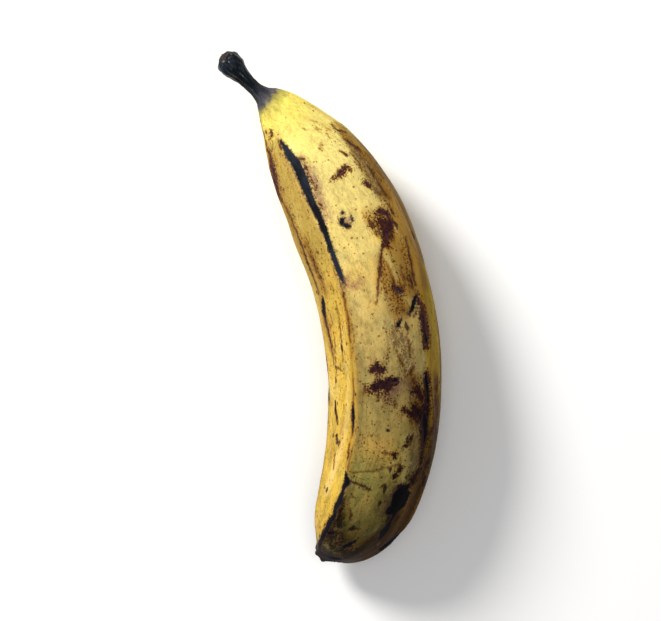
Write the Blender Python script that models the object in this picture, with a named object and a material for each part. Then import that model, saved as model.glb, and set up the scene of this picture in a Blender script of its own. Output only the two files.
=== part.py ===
"""A ripe plantain, lying on its side on a level surface.

Metres, +Z up. The origin is on the surface, under the middle of the fruit's bounding box, and the
fruit's length runs along Y. Peel, stalk and blossom tip grew as one skin, so the fruit is one solid.
"""

import math

import bmesh
import bpy
import numpy as np

# Driving dimensions
LENGTH = 0.268  # along the curved middle line, from the broken end of the stalk to the blossom tip
HALF_WIDTH = 0.0266  # half of the greatest width across the bend
PRESSED_FLAT = 0.0009  # how much of the underside its own weight presses level

# The fruit's outline along its middle line: (share of LENGTH, share of HALF_WIDTH)
OUTLINE = (
    (0.000, 0.00),  # middle of the stalk's broken end
    (0.001, 0.085),
    (0.004, 0.140),
    (0.009, 0.182),
    (0.017, 0.212),  # knob that the fruit hung from
    (0.026, 0.209),
    (0.039, 0.172),
    (0.056, 0.126),
    (0.076, 0.112),  # waist of the stalk
    (0.095, 0.160),
    (0.107, 0.250),
    (0.125, 0.365),
    (0.150, 0.475),  # neck, where the peel fills out
    (0.225, 0.770),
    (0.300, 0.935),
    (0.380, 1.000),
    (0.480, 0.995),
    (0.580, 1.000),
    (0.655, 0.980),
    (0.730, 0.955),
    (0.780, 0.930),
    (0.850, 0.875),
    (0.905, 0.745),
    (0.944, 0.585),
    (0.970, 0.400),
    (0.984, 0.260),  # root of the blossom tip
    (0.993, 0.195),
    (0.9985, 0.155),
    (0.9997, 0.100),
    (1.000, 0.00),  # middle of the blossom scar
)
# Which way the middle line heads, seen from above: (share of LENGTH, degrees from +X)
HEADING = (
    (0.00, -47),
    (0.07, -43),
    (0.105, -39),
    (0.14, -49),
    (0.18, -55),
    (0.23, -57),
    (0.31, -61),
    (0.41, -68),
    (0.52, -78),
    (0.62, -87),
    (0.72, -95),
    (0.82, -106),
    (0.88, -117),
    (0.94, -130),
    (1.00, -146),
)
# How steeply the middle line falls away from the stalk: (share of LENGTH, degrees)
FALL = ((0.00, 12), (0.15, 10), (0.30, 4), (0.50, 0), (0.80, 2), (0.92, 16), (1.00, 34))
# The five ridges: the angle round the middle line at neck, middle and tip, and how far each reaches
RIDGE_PLACES = (0.30, 0.62, 0.90)
RIDGES = (
    ((22, 38, 4), 1.00),  # outer side, upper
    ((122, 122, 120), 1.02),  # upper face
    ((166, 176, 172), 1.04),  # inner side
    ((236, 237, 240), 1.03),  # under face, inner
    ((306, 308, 302), 1.05),  # under face, outer
)
# How full each face is between its ridges, from 0, flat, to 1, round; the first is above the outer ridge
FACE_FULLNESS = (0.62, 0.45, 0.45, 0.35, 0.90)
# How strongly the ridges stand: (share of LENGTH, 0 for round, 1 for full)
RIDGE_STRENGTH = (
    (0.00, 0.1),
    (0.07, 0.3),
    (0.12, 0.5),
    (0.20, 0.9),
    (0.50, 0.85),
    (0.85, 1.0),
    (0.96, 0.9),
    (1.00, 0.3),
)
RIDGE_ROUNDING = 4.0  # degrees over which a ridge is rounded off

COLUMNS_PER_FACE = (14, 9, 10, 11, 12)
RINGS = 66
RING_STEP = 0.0011  # closest spacing of the rings, at the stalk and the tip
RING_STEP_GROWTH = 0.16  # and how the spacing grows with the half width

PEEL_COLOUR = (0.66, 0.45, 0.10, 1.0)


def smooth_through(table, at):
    """A smooth curve through (place, value) rows, read at each place in at, with no overshoot."""
    place, value = np.array(table, float).T
    step = np.diff(place)
    slope = np.diff(value) / step
    tangent = np.zeros(len(place))
    same_way = slope[:-1] * slope[1:] > 0
    weight = (2 * step[1:] + step[:-1], step[1:] + 2 * step[:-1])
    with np.errstate(divide="ignore", invalid="ignore"):
        mean = (weight[0] + weight[1]) / (weight[0] / slope[:-1] + weight[1] / slope[1:])
    tangent[1:-1] = np.where(same_way, mean, 0.0)
    tangent[0], tangent[-1] = slope[0], slope[-1]
    i = np.clip(np.searchsorted(place, at) - 1, 0, len(step) - 1)
    t = np.clip((at - place[i]) / step[i], 0.0, 1.0)
    rest = 1 - t
    return (
        value[i] * (1 + 2 * t) * rest**2
        + value[i + 1] * (3 - 2 * t) * t**2
        + step[i] * (tangent[i] * t * rest**2 - tangent[i + 1] * t**2 * rest)
    )


def meridian(samples=4000):
    """The fruit's outline as a fine line: shares of LENGTH and half widths in metres."""
    corner = np.array(OUTLINE)
    sides = np.hypot(np.diff(corner[:, 0]) * LENGTH, np.diff(corner[:, 1]) * HALF_WIDTH)
    knots = np.concatenate([[0], np.cumsum(np.sqrt(sides))])
    at = np.linspace(0, knots[-1], samples)
    along = smooth_through(np.column_stack([knots, corner[:, 0]]), at)
    half_width = smooth_through(np.column_stack([knots, corner[:, 1] * HALF_WIDTH]), at)
    return along, half_width


def ring_places(rings):
    """Where each ring of the skin lies on the outline, closer together where the fruit is slender."""
    along, half_width = meridian()
    run = np.hypot(np.diff(along) * LENGTH, np.diff(half_width))
    middle = (half_width[1:] + half_width[:-1]) / 2
    count = np.concatenate([[0], np.cumsum(run / (RING_STEP + RING_STEP_GROWTH * middle))])
    at = np.linspace(0, count[-1], rings + 1)
    return np.interp(at, count, along), np.interp(at, count, half_width)


def middle_line(along):
    """Points of the middle line and the outward and upward directions there, for shares of LENGTH."""
    fine = np.linspace(0, 1, 2001)
    heading = np.radians(smooth_through(HEADING, fine))
    fall = np.radians(smooth_through(FALL, fine))
    level = np.cos(fall)
    forward = np.column_stack([np.cos(heading) * level, np.sin(heading) * level, -np.sin(fall)])
    steps = (forward[1:] + forward[:-1]) / 2 * LENGTH / (len(fine) - 1)
    line = np.concatenate([np.zeros((1, 3)), np.cumsum(steps, axis=0)])
    point = np.column_stack([np.interp(along, fine, line[:, k]) for k in range(3)])
    ahead = np.column_stack([np.interp(along, fine, forward[:, k]) for k in range(3)])
    turn = np.interp(along, fine, heading)
    outward = np.column_stack([-np.sin(turn), np.cos(turn), np.zeros(len(turn))])
    return point, outward, np.cross(ahead, outward)


def section(angle, ridge_angle):
    """How far one section of the fruit reaches in each direction, as a share of its half width."""
    reach = np.array([r for _, r in RIDGES])
    found = np.zeros_like(angle)
    for k, fullness in enumerate(FACE_FULLNESS):
        start, end = ridge_angle[k], ridge_angle[(k + 1) % len(RIDGES)]
        span = (end - start) % (2 * math.pi)
        into = (angle - start) % (2 * math.pi)
        inside = into <= span
        a, b = reach[k], reach[(k + 1) % len(RIDGES)]
        chord = a * b * math.sin(span) / (a * np.sin(into) + b * np.sin(span - into) + 1e-12)
        arc = a + (b - a) * into / span
        found[inside] = (chord + (arc - chord) * fullness)[inside]
    return found


def rounded_section(angle, ridge_angle):
    """The section with its ridges rounded off."""
    taps = np.radians(RIDGE_ROUNDING) * np.linspace(-1, 1, 5)
    return np.mean([section(angle + tap, ridge_angle) for tap in taps], axis=0)


def ridge_angles(share):
    return np.radians(
        [smooth_through(list(zip(RIDGE_PLACES, places)), np.array([share]))[0] for places, _ in RIDGES]
    )


def column_angles(ridge_angle, columns_per_face):
    """The angle of each column of the skin, with a column on each ridge and more of them near it."""
    angles = []
    for k, columns in enumerate(columns_per_face):
        span = (ridge_angle[(k + 1) % len(RIDGES)] - ridge_angle[k]) % (2 * math.pi)
        t = np.arange(columns) / columns
        angles.append(ridge_angle[k] + span * (t - 0.45 * np.sin(2 * math.pi * t) / (2 * math.pi)))
    return np.concatenate(angles)


def skin(rings, columns_per_face):
    """The fruit's surface as an array of points: one row for each ring, one column for each angle."""
    along, half_width = ring_places(rings)
    point, outward, upward = middle_line(along)
    strength = smooth_through(RIDGE_STRENGTH, along)
    rows = []
    for i, share in enumerate(along):
        ridge_angle = ridge_angles(share)
        angle = column_angles(ridge_angle, columns_per_face)
        reach = 1 + (rounded_section(angle, ridge_angle) - 1) * strength[i]
        across = np.outer(np.cos(angle), outward[i]) + np.outer(np.sin(angle), upward[i])
        rows.append(point[i] + across * (half_width[i] * reach)[:, None])
    return np.array(rows)


def plantain():
    """A UV sphere carried onto the fruit's skin, ring by ring, then pressed flat where it rests."""
    columns = sum(COLUMNS_PER_FACE)
    surface = skin(RINGS, COLUMNS_PER_FACE)
    body = bmesh.new()
    bmesh.ops.create_uvsphere(body, u_segments=columns, v_segments=RINGS, radius=1.0)
    for vertex in body.verts:
        x, y, z = vertex.co
        ring = round(math.acos(max(-1.0, min(1.0, -z))) / math.pi * RINGS)
        column = round(math.atan2(y, x) / (2 * math.pi) * columns) % columns
        vertex.co = surface[ring, column]
    places = np.array([v.co for v in body.verts])
    low, high = places.min(0), places.max(0)
    centre = (low + high) / 2
    bmesh.ops.translate(body, verts=body.verts, vec=(-centre[0], -centre[1], -low[2] - PRESSED_FLAT))
    bmesh.ops.bisect_plane(
        body, geom=body.verts[:] + body.edges[:] + body.faces[:], dist=1e-6,
        plane_co=(0, 0, 0), plane_no=(0, 0, -1), clear_outer=True,
    )
    rim = [edge for edge in body.edges if edge.is_boundary]
    bmesh.ops.contextual_create(body, geom=rim)
    bmesh.ops.recalc_face_normals(body, faces=body.faces)
    mesh = bpy.data.meshes.new("plantain")
    body.to_mesh(mesh)
    body.free()
    mesh.shade_smooth()
    return bpy.data.objects.new("plantain", mesh)


def peel_material():
    material = bpy.data.materials.new("peel")
    material.use_nodes = True
    shader = material.node_tree.nodes["Principled BSDF"]
    shader.inputs["Base Color"].default_value = PEEL_COLOUR
    shader.inputs["Roughness"].default_value = 0.45
    return material


def main():
    for old in list(bpy.data.objects):
        bpy.data.objects.remove(old)
    collection = bpy.data.collections.new("plantain")
    bpy.context.scene.collection.children.link(collection)
    fruit = plantain()
    fruit.data.materials.append(peel_material())
    collection.objects.link(fruit)


main()
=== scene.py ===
import math

import bmesh
import bpy
import numpy as np
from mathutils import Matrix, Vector, noise


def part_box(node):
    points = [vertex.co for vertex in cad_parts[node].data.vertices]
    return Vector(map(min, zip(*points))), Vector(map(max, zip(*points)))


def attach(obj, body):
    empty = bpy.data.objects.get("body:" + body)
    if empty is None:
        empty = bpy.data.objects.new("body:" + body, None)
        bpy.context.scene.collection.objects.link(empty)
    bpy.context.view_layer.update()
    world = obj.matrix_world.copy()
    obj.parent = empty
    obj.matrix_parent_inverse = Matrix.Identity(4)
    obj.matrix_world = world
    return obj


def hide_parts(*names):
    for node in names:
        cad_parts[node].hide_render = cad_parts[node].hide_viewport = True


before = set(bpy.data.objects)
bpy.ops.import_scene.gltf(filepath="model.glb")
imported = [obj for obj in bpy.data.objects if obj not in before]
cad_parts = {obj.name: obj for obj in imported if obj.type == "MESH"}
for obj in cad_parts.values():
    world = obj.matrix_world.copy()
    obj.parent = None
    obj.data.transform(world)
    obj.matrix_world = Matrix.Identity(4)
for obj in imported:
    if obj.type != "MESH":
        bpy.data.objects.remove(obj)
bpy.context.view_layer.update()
for old in [o for o in bpy.data.objects if o.type in {"CAMERA", "LIGHT"}]:
    bpy.data.objects.remove(old)


# ---------------------------------------------------------------------------------------------
# The fruit: a ripe plantain grown in one skin, from the knob where its stalk broke off the bunch,
# through a bent, five-ridged body, to the blunt scar where the blossom dropped. It lies loose on
# its side, pressed a little flat underneath.

LENGTH = 0.268  # along the curved middle line
HALF_WIDTH = 0.0266
PRESSED_FLAT = 0.0009

# (share of the length, share of the half width)
BODY_OUTLINE = (
    (0.000, 0.00),
    (0.001, 0.085),
    (0.004, 0.140),
    (0.009, 0.182),
    (0.017, 0.212),
    (0.026, 0.209),
    (0.039, 0.172),
    (0.056, 0.126),
    (0.076, 0.112),
    (0.095, 0.160),
    (0.107, 0.250),
    (0.125, 0.365),
    (0.150, 0.475),
    (0.225, 0.770),
    (0.300, 0.935),
    (0.380, 1.000),
    (0.480, 0.995),
    (0.580, 1.000),
    (0.655, 0.980),
    (0.730, 0.955),
    (0.780, 0.930),
    (0.850, 0.875),
    (0.905, 0.745),
    (0.944, 0.585),
    (0.970, 0.400),
    (0.984, 0.260),
    (0.993, 0.195),
    (0.9985, 0.155),
    (0.9997, 0.100),
    (1.000, 0.00),
)
# (share of the length, degrees from +X, seen from above)
BEND = (
    (0.00, -47),
    (0.07, -43),
    (0.105, -39),
    (0.14, -49),
    (0.18, -55),
    (0.23, -57),
    (0.31, -61),
    (0.41, -68),
    (0.52, -78),
    (0.62, -87),
    (0.72, -95),
    (0.82, -106),
    (0.88, -117),
    (0.94, -130),
    (1.00, -146),
)
DROOP = ((0.00, 12), (0.15, 10), (0.30, 4), (0.50, 0), (0.80, 2), (0.92, 16), (1.00, 34))
# angles round the middle line at neck, middle and tip, and reach
RIDGE_STATIONS = (0.30, 0.62, 0.90)
RIDGES = (
    ((22, 38, 4), 1.00),
    ((122, 122, 120), 1.02),
    ((166, 176, 172), 1.04),
    ((236, 237, 240), 1.03),
    ((306, 308, 302), 1.05),
)
FACE_FULLNESS = (0.62, 0.45, 0.45, 0.35, 0.90)
# share of the length, how strongly the ridges show
RIDGE_STRENGTH = (
    (0.00, 0.1),
    (0.07, 0.3),
    (0.12, 0.5),
    (0.20, 0.9),
    (0.50, 0.85),
    (0.85, 1.0),
    (0.96, 0.9),
    (1.00, 0.3),
)
RIDGE_WANDER = 1.6  # degrees
CORNER_TAPS = (-3, -1.5, 0, 1.5, 3)  # degrees that a ridge's corner is averaged over
RINGS = 384
COLUMNS = 256
RING_GAP = 0.0004  # between rings where the fruit ends in a point, then more by its width
GAP_BY_WIDTH = 0.014
OUTLINE_SAMPLES = 6000
LINE_SAMPLES = 2001


def smooth_through(table, at):
    """A smooth curve through (place, value) rows with no overshoot, read at each place in at."""
    place, value = np.array(table, float).T
    step = np.diff(place)
    slope = np.diff(value) / step
    tangent = np.zeros(len(place))
    same_way = slope[:-1] * slope[1:] > 0
    weight = (2 * step[1:] + step[:-1], step[1:] + 2 * step[:-1])
    with np.errstate(divide="ignore", invalid="ignore"):
        mean = (weight[0] + weight[1]) / (weight[0] / slope[:-1] + weight[1] / slope[1:])
    tangent[1:-1] = np.where(same_way, mean, 0.0)
    tangent[0], tangent[-1] = slope[0], slope[-1]
    i = np.clip(np.searchsorted(place, at) - 1, 0, len(step) - 1)
    t = np.clip((at - place[i]) / step[i], 0.0, 1.0)
    rest = 1 - t
    return (
        value[i] * (1 + 2 * t) * rest**2
        + value[i + 1] * (3 - 2 * t) * t**2
        + step[i] * (tangent[i] * t * rest**2 - tangent[i + 1] * t**2 * rest)
    )


def ease(low, high, x):
    """From 0 at low to 1 at high, smoothly."""
    t = np.clip((x - low) / (high - low), 0.0, 1.0)
    return t * t * (3 - 2 * t)


def body_rings():
    """Each ring's share of the length and half width; rings crowd on the stalk and the tip."""
    corner = np.array(BODY_OUTLINE)
    sides = np.hypot(np.diff(corner[:, 0]) * LENGTH, np.diff(corner[:, 1]) * HALF_WIDTH)
    knots = np.concatenate([[0], np.cumsum(np.sqrt(sides))])
    at = np.linspace(0, knots[-1], OUTLINE_SAMPLES)
    share = smooth_through(np.column_stack([knots, corner[:, 0]]), at)
    half_width = smooth_through(np.column_stack([knots, corner[:, 1] * HALF_WIDTH]), at)
    run = np.hypot(np.diff(share) * LENGTH, np.diff(half_width))
    middle = (half_width[1:] + half_width[:-1]) / 2
    count = np.concatenate([[0], np.cumsum(run / (RING_GAP + GAP_BY_WIDTH * middle))])
    at = np.linspace(0, count[-1], RINGS + 1)
    return np.interp(at, count, share), np.interp(at, count, half_width)


def middle_line(share):
    """Points of the curved middle line, with the outward and the upward direction at each."""
    fine = np.linspace(0, 1, LINE_SAMPLES)
    bend = np.radians(smooth_through(BEND, fine))
    droop = np.radians(smooth_through(DROOP, fine))
    level = np.cos(droop)
    forward = np.column_stack([np.cos(bend) * level, np.sin(bend) * level, -np.sin(droop)])
    steps = (forward[1:] + forward[:-1]) / 2 * LENGTH / (len(fine) - 1)
    line = np.concatenate([np.zeros((1, 3)), np.cumsum(steps, axis=0)])
    point = np.column_stack([np.interp(share, fine, line[:, k]) for k in range(3)])
    ahead = np.column_stack([np.interp(share, fine, forward[:, k]) for k in range(3)])
    turn = np.interp(share, fine, bend)
    outward = np.column_stack([-np.sin(turn), np.cos(turn), np.zeros(len(turn))])
    return point, outward, np.cross(ahead, outward)


def ridge_lines(share):
    """Each ridge's angle at each ring, in radians; it wanders a little, as grown things do."""
    lines = []
    for k, (places, _) in enumerate(RIDGES):
        angle = smooth_through(list(zip(RIDGE_STATIONS, places)), share)
        wander = np.sin(share * 23 + k * 2.1) + 0.6 * np.sin(share * 51 + k * 4.4)
        lines.append(np.radians(angle + RIDGE_WANDER * wander))
    return np.array(lines).T


def section(angle, ridge_angle):
    """How far one section reaches in each direction, as a share of its half width."""
    reach = np.array([r for _, r in RIDGES])
    found = np.zeros_like(angle)
    for k, fullness in enumerate(FACE_FULLNESS):
        start, end = ridge_angle[k], ridge_angle[(k + 1) % len(RIDGES)]
        span = (end - start) % (2 * math.pi)
        into = (angle - start) % (2 * math.pi)
        inside = into <= span
        a, b = reach[k], reach[(k + 1) % len(RIDGES)]
        chord = a * b * math.sin(span) / (a * np.sin(into) + b * np.sin(span - into) + 1e-12)
        arc = a + (b - a) * into / span
        found[inside] = (chord + (arc - chord) * fullness)[inside]
    return found


ring_share, ring_half_width = body_rings()
ridge_angle = ridge_lines(ring_share)
column_angle = np.radians(-90.0) + np.arange(COLUMNS) * 2 * math.pi / COLUMNS
point, outward, upward = middle_line(ring_share)
strength = smooth_through(RIDGE_STRENGTH, ring_share)

radius = np.zeros((RINGS + 1, COLUMNS))
for i in range(RINGS + 1):
    taps = [section(column_angle + tap, ridge_angle[i]) for tap in np.radians(CORNER_TAPS)]
    radius[i] = ring_half_width[i] * (1 + (np.mean(taps, axis=0) - 1) * strength[i])
aside, aloft = np.cos(column_angle)[None, :, None], np.sin(column_angle)[None, :, None]
across = aside * outward[:, None] + aloft * upward[:, None]
smooth_skin = point[:, None] + across * radius[..., None]

# where each point of the skin is on the fruit, were it unbent: across, across, along
share = np.repeat(ring_share[:, None], COLUMNS, axis=1)
angle = np.degrees(np.repeat(column_angle[None, :], RINGS + 1, axis=0))
angle = (angle + 180) % 360 - 180
unbent = np.stack(
    [radius * np.cos(column_angle), radius * np.sin(column_angle), share * LENGTH], axis=-1
)


FAR_OFF = 6.0  # millimetres beyond which a mark has no effect


def legs(paths):
    """Each leg of the marks' paths, in millimetres along and round the skin.

    A path has rows of (share of the length, angle, half width in millimetres). For each leg this
    gives every point's place from the leg's start, the leg's own run, and its two half widths.
    """
    on = radius * 1000
    for path in paths:
        for (s0, a0, w0), (s1, a1, w1) in zip(path, path[1:] or path):
            du = (share - s0) * LENGTH * 1000
            dv = np.radians((angle - a0 + 180) % 360 - 180) * on
            su, sv = (s1 - s0) * LENGTH * 1000, np.radians(a1 - a0) * on
            yield du, dv, su, sv, w0, w1


def depth_in(paths):
    """How many millimetres each point of the skin is inside a mark's edge; negative outside."""
    depth = np.full(share.shape, -FAR_OFF)
    for du, dv, su, sv, w0, w1 in legs(paths):
        t = np.clip((du * su + dv * sv) / (su * su + sv * sv + 1e-9), 0, 1)
        away = np.hypot(du - t * su, dv - t * sv)
        depth = np.maximum(depth, w0 + (w1 - w0) * t - away)
    return depth


# rubbed blue-black, mostly along the ridges
BLACK_RUBS = (
    ((0.177, 122, 0.3), (0.187, 120, 0.8), (0.205, 118, 1.6), (0.230, 115, 2.0), (0.266, 116, 2.0),
     (0.300, 118, 1.6), (0.338, 117, 1.4), (0.374, 118, 1.2), (0.411, 120, 1.1), (0.444, 120, 1.2),
     (0.463, 120, 0.6)),
    ((0.477, 156, 0.5), (0.490, 158, 1.3), (0.506, 160, 1.3), (0.523, 160, 0.5)),
    ((0.815, 125, 0.5), (0.832, 121, 1.5), (0.846, 123, 0.8), (0.853, 122, 1.0), (0.868, 122, 1.7),
     (0.883, 124, 1.2), (0.894, 120, 0.9), (0.908, 123, 1.4), (0.927, 121, 0.9), (0.944, 120, 1.0),
     (0.968, 118, 1.1), (0.983, 107, 1.4)),
    ((0.812, 43, 1.0), (0.818, 49, 2.0), (0.831, 52, 3.4), (0.843, 49, 3.2), (0.853, 56, 1.8)),
    ((0.826, 40, 1.8), (0.838, 44, 3.0), (0.850, 49, 2.2)),
    ((0.856, 46, 0.8), (0.871, 45, 0.9), (0.885, 42, 2.1), (0.897, 39, 1.2)),
    ((0.543, 59, 0.5), (0.533, 53, 1.0), (0.519, 48, 0.7), (0.513, 41, 0.2)),
    ((0.556, 73, 0.9), (0.549, 69, 0.5)),
    ((0.546, 53, 0.4), (0.536, 48, 0.3)),
    ((0.545, 43, 0.1), (0.556, 42, 0.6), (0.569, 43, 0.3), (0.584, 42, 0.9), (0.592, 43, 0.3)),
    ((0.634, 45, 0.2), (0.644, 45, 0.8), (0.654, 44, 0.9), (0.668, 42, 0.4), (0.682, 41, 0.8)),
    ((0.700, 44, 0.8), (0.712, 42, 1.4), (0.728, 39, 1.2), (0.745, 38, 0.5)),
    ((0.729, 87, 0.7),),
    ((0.345, 93, 0.9),),
    ((0.355, 97, 1.1), (0.361, 99, 0.9)),
    ((0.368, 96, 0.9), (0.371, 92, 0.6)),
    ((0.364, 87, 0.6), (0.356, 86, 0.5)),
    ((0.648, 86, 0.5), (0.645, 81, 1.0)),
    ((0.499, 66, 0.3), (0.503, 63, 0.8)),
    ((0.934, 80, 0.8), (0.924, 76, 1.2), (0.916, 73, 0.7)),
    ((0.929, 115, 0.8), (0.924, 110, 0.8)),
    ((0.961, 56, 1.0), (0.972, 78, 1.5), (0.982, 103, 1.5)),
    ((0.690, 127, 0.5), (0.706, 126, 0.9), (0.729, 125, 0.5)),
    ((0.686, 159, 0.3), (0.700, 159, 0.8), (0.708, 158, 0.5)),
    ((0.752, 152, 0.6), (0.768, 149, 0.5)),
    ((0.300, -55, 0.3), (0.345, -54, 1.4), (0.430, -52, 1.9), (0.500, -53, 0.8)),
    ((0.600, -54, 0.5), (0.680, -56, 1.6), (0.760, -57, 0.6)),
    ((0.420, -122, 0.6), (0.520, -123, 1.5), (0.610, -122, 0.5)),
    ((0.780, -120, 0.5), (0.860, -119, 1.6), (0.940, -119, 1.2)),
    ((0.600, 174, 0.3), (0.650, 176, 1.1), (0.690, 175, 0.4)),
    ((0.871, 2, 1.0), (0.891, 8, 2.2), (0.915, 12, 1.2)),
)
# maroon bruises
BRUISES = (
    ((0.184, 158, 0.3), (0.202, 159, 1.4), (0.225, 161, 2.0), (0.243, 163, 1.5), (0.268, 162, 0.5)),
    ((0.371, 56, 1.0), (0.373, 50, 1.4), (0.382, 46, 1.3), (0.394, 46, 0.9), (0.407, 51, 0.6)),
    ((0.384, 61, 0.8), (0.391, 56, 1.2), (0.407, 58, 1.5), (0.421, 64, 0.9)),
    ((0.496, 69, 0.7), (0.503, 62, 0.8)),
    ((0.516, 44, 0.6), (0.530, 42, 1.4), (0.552, 42, 2.1), (0.569, 43, 2.0), (0.584, 42, 2.0),
     (0.596, 43, 1.2)),
    ((0.628, 105, 1.5), (0.626, 100, 2.7), (0.629, 95, 1.7)),
    ((0.637, 101, 0.5), (0.643, 101, 0.4)),
    ((0.658, 107, 1.5), (0.656, 101, 2.4), (0.653, 91, 2.7), (0.648, 84, 2.2), (0.645, 79, 1.4)),
    ((0.664, 62, 0.6), (0.661, 55, 0.8), (0.674, 51, 0.8)),
    ((0.688, 60, 0.6), (0.700, 50, 1.4), (0.712, 43, 2.0), (0.728, 40, 2.2), (0.746, 38, 1.2)),
    ((0.634, 46, 0.9), (0.645, 45, 1.7), (0.660, 44, 1.8), (0.682, 42, 1.7), (0.700, 42, 2.0)),
    ((0.694, 70, 0.6), (0.703, 58, 0.9)),
    ((0.752, 63, 0.6), (0.739, 60, 0.5)),
    ((0.768, 75, 0.7), (0.772, 73, 0.5)),
    ((0.787, 62, 0.6), (0.803, 68, 0.6)),
    ((0.755, 39, 0.7), (0.776, 37, 0.9)),
    ((0.784, 35, 0.9), (0.806, 40, 1.7), (0.816, 46, 1.2)),
    ((0.152, 136, 0.2), (0.160, 138, 0.5)),
    ((0.284, 86, 0.5), (0.284, 79, 0.8)),
    ((0.284, 76, 0.9), (0.283, 70, 1.3), (0.279, 63, 1.3)),
    ((0.287, 59, 0.5),),
    ((0.316, 53, 0.8), (0.322, 51, 0.6)),
    ((0.370, 96, 0.4),),
    ((0.353, 98, 0.3),),
    ((0.630, -24, 1.2), (0.644, -16, 2.4), (0.679, -12, 1.6)),
    ((0.350, -15, 1.0), (0.358, -4, 1.8)),
    ((0.450, -95, 1.0), (0.480, -88, 2.2), (0.520, -86, 1.0)),
    ((0.700, -90, 1.6), (0.712, -80, 2.4)),
    ((0.300, -150, 0.8), (0.340, -146, 1.8), (0.370, -150, 0.8)),
    ((0.560, -155, 1.4), (0.570, -148, 2.0)),
    ((0.800, -160, 0.8), (0.830, -150, 1.8)),
)
# thin lines, scratches and dashes, with their half widths in millimetres
LINES = (
    ((0.260, 160, 0.5), (0.297, 156, 0.4), (0.340, 156, 0.5), (0.407, 161, 0.6), (0.471, 162, 0.5)),
    ((0.523, 160, 0.9), (0.562, 158, 0.6), (0.615, 158, 0.4)),
    ((0.174, 127, 0.3), (0.191, 125, 0.6)),
    ((0.175, 55, 0.1), (0.183, 50, 0.2), (0.190, 46, 0.1)),
    ((0.195, 44, 0.1), (0.205, 43, 0.2), (0.214, 41, 0.1)),
    ((0.180, 79, 0.1), (0.185, 76, 0.2), (0.190, 73, 0.1)),
    ((0.480, 123, 0.5), (0.523, 124, 0.3), (0.556, 125, 0.5), (0.576, 125, 0.2)),
    ((0.630, 126, 0.2), (0.679, 126, 0.4), (0.698, 126, 0.8), (0.729, 125, 0.8), (0.750, 125, 0.2)),
    ((0.760, 127, 0.3), (0.790, 126, 0.6)),
    ((0.493, 136, 0.2), (0.551, 138, 0.4), (0.610, 140, 0.2)),
    ((0.551, 149, 0.2), (0.610, 153, 0.4), (0.639, 154, 0.2)),
    ((0.641, 156, 0.6), (0.650, 157, 0.5)),
    ((0.686, 159, 0.6), (0.707, 159, 1.0), (0.719, 154, 0.7), (0.732, 152, 0.5)),
    ((0.752, 152, 0.9), (0.768, 149, 0.7)),
    ((0.790, 150, 0.3), (0.820, 147, 0.5)),
    ((0.828, 119, 0.4), (0.828, 108, 0.5), (0.831, 93, 0.6)),
    ((0.825, 82, 0.4), (0.818, 76, 0.5)),
    ((0.812, 118, 0.2), (0.803, 101, 0.3), (0.793, 84, 0.2), (0.784, 68, 0.3)),
    ((0.768, 89, 0.3), (0.765, 70, 0.4)),
    ((0.421, 67, 0.7), (0.440, 73, 0.6), (0.454, 77, 0.6), (0.473, 83, 0.5), (0.490, 87, 0.5),
     (0.516, 93, 0.3)),
    ((0.450, 69, 0.2), (0.473, 68, 0.3), (0.493, 66, 0.2)),
    ((0.463, 55, 0.2), (0.483, 55, 0.4), (0.503, 57, 0.3)),
    ((0.480, 44, 0.4), (0.500, 42, 0.5)),
    ((0.424, 36, 0.4), (0.455, 39, 0.6), (0.493, 43, 0.4)),
    ((0.560, 61, 0.1), (0.575, 65, 0.4), (0.588, 63, 0.2), (0.602, 64, 0.3)),
    ((0.598, 79, 0.3), (0.620, 73, 0.4)),
    ((0.641, 71, 0.2), (0.635, 65, 0.6), (0.626, 59, 0.3)),
    ((0.618, 152, 0.4), (0.628, 143, 0.4)),
    ((0.219, 111, 0.5), (0.227, 103, 0.5)),
    ((0.219, 70, 0.4), (0.225, 70, 0.4)),
    ((0.225, 77, 0.4), (0.232, 75, 0.4)),
    ((0.248, 55, 0.5), (0.263, 51, 0.6)),
    ((0.203, 30, 0.4), (0.219, 30, 0.6), (0.227, 25, 0.4)),
    ((0.233, 34, 0.4), (0.257, 30, 0.7), (0.268, 28, 0.4)),
    ((0.260, 44, 0.3), (0.281, 43, 0.4), (0.297, 45, 0.3)),
    ((0.293, 34, 0.3), (0.327, 36, 0.4), (0.352, 35, 0.3)),
    ((0.150, 137, 0.3), (0.162, 138, 0.6)),
    ((0.125, 168, 0.3), (0.150, 164, 0.5), (0.185, 159, 0.5)),
    ((0.731, 56, 0.4), (0.752, 61, 0.5)),
    ((0.871, 107, 0.4), (0.887, 100, 0.5)),
    ((0.894, 82, 0.4), (0.903, 93, 0.6)),
    ((0.297, 11, 0.3), (0.415, 5, 0.6), (0.473, 8, 0.3)),
    ((0.520, -20, 0.3), (0.600, -16, 0.6), (0.660, -20, 0.3)),
    ((0.250, -80, 0.3), (0.360, -86, 0.6), (0.420, -84, 0.3)),
    ((0.640, -100, 0.3), (0.720, -104, 0.6), (0.790, -100, 0.3)),
    ((0.400, -160, 0.3), (0.520, -164, 0.6), (0.600, -160, 0.3)),
    ((0.660, -140, 0.3), (0.668, -154, 0.5)),
)
# skin bruised below the surface, greyish pink
PALE_BRUISES = (
    ((0.220, 106, 0.8), (0.252, 105, 2.4), (0.282, 107, 2.8), (0.309, 109, 2.4), (0.345, 112, 1.4)),
    ((0.455, 117, 0.6), (0.470, 117, 1.6), (0.476, 110, 1.5), (0.466, 101, 0.9)),
    ((0.356, 95, 1.8), (0.362, 92, 2.4)),
    ((0.508, 161, 1.6), (0.590, 159, 1.2)),
    ((0.649, 73, 2.4), (0.669, 88, 3.0)),
    ((0.824, 56, 4.0), (0.847, 62, 4.0)),
    ((0.430, -50, 2.4), (0.480, -46, 3.2)),
)
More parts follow.
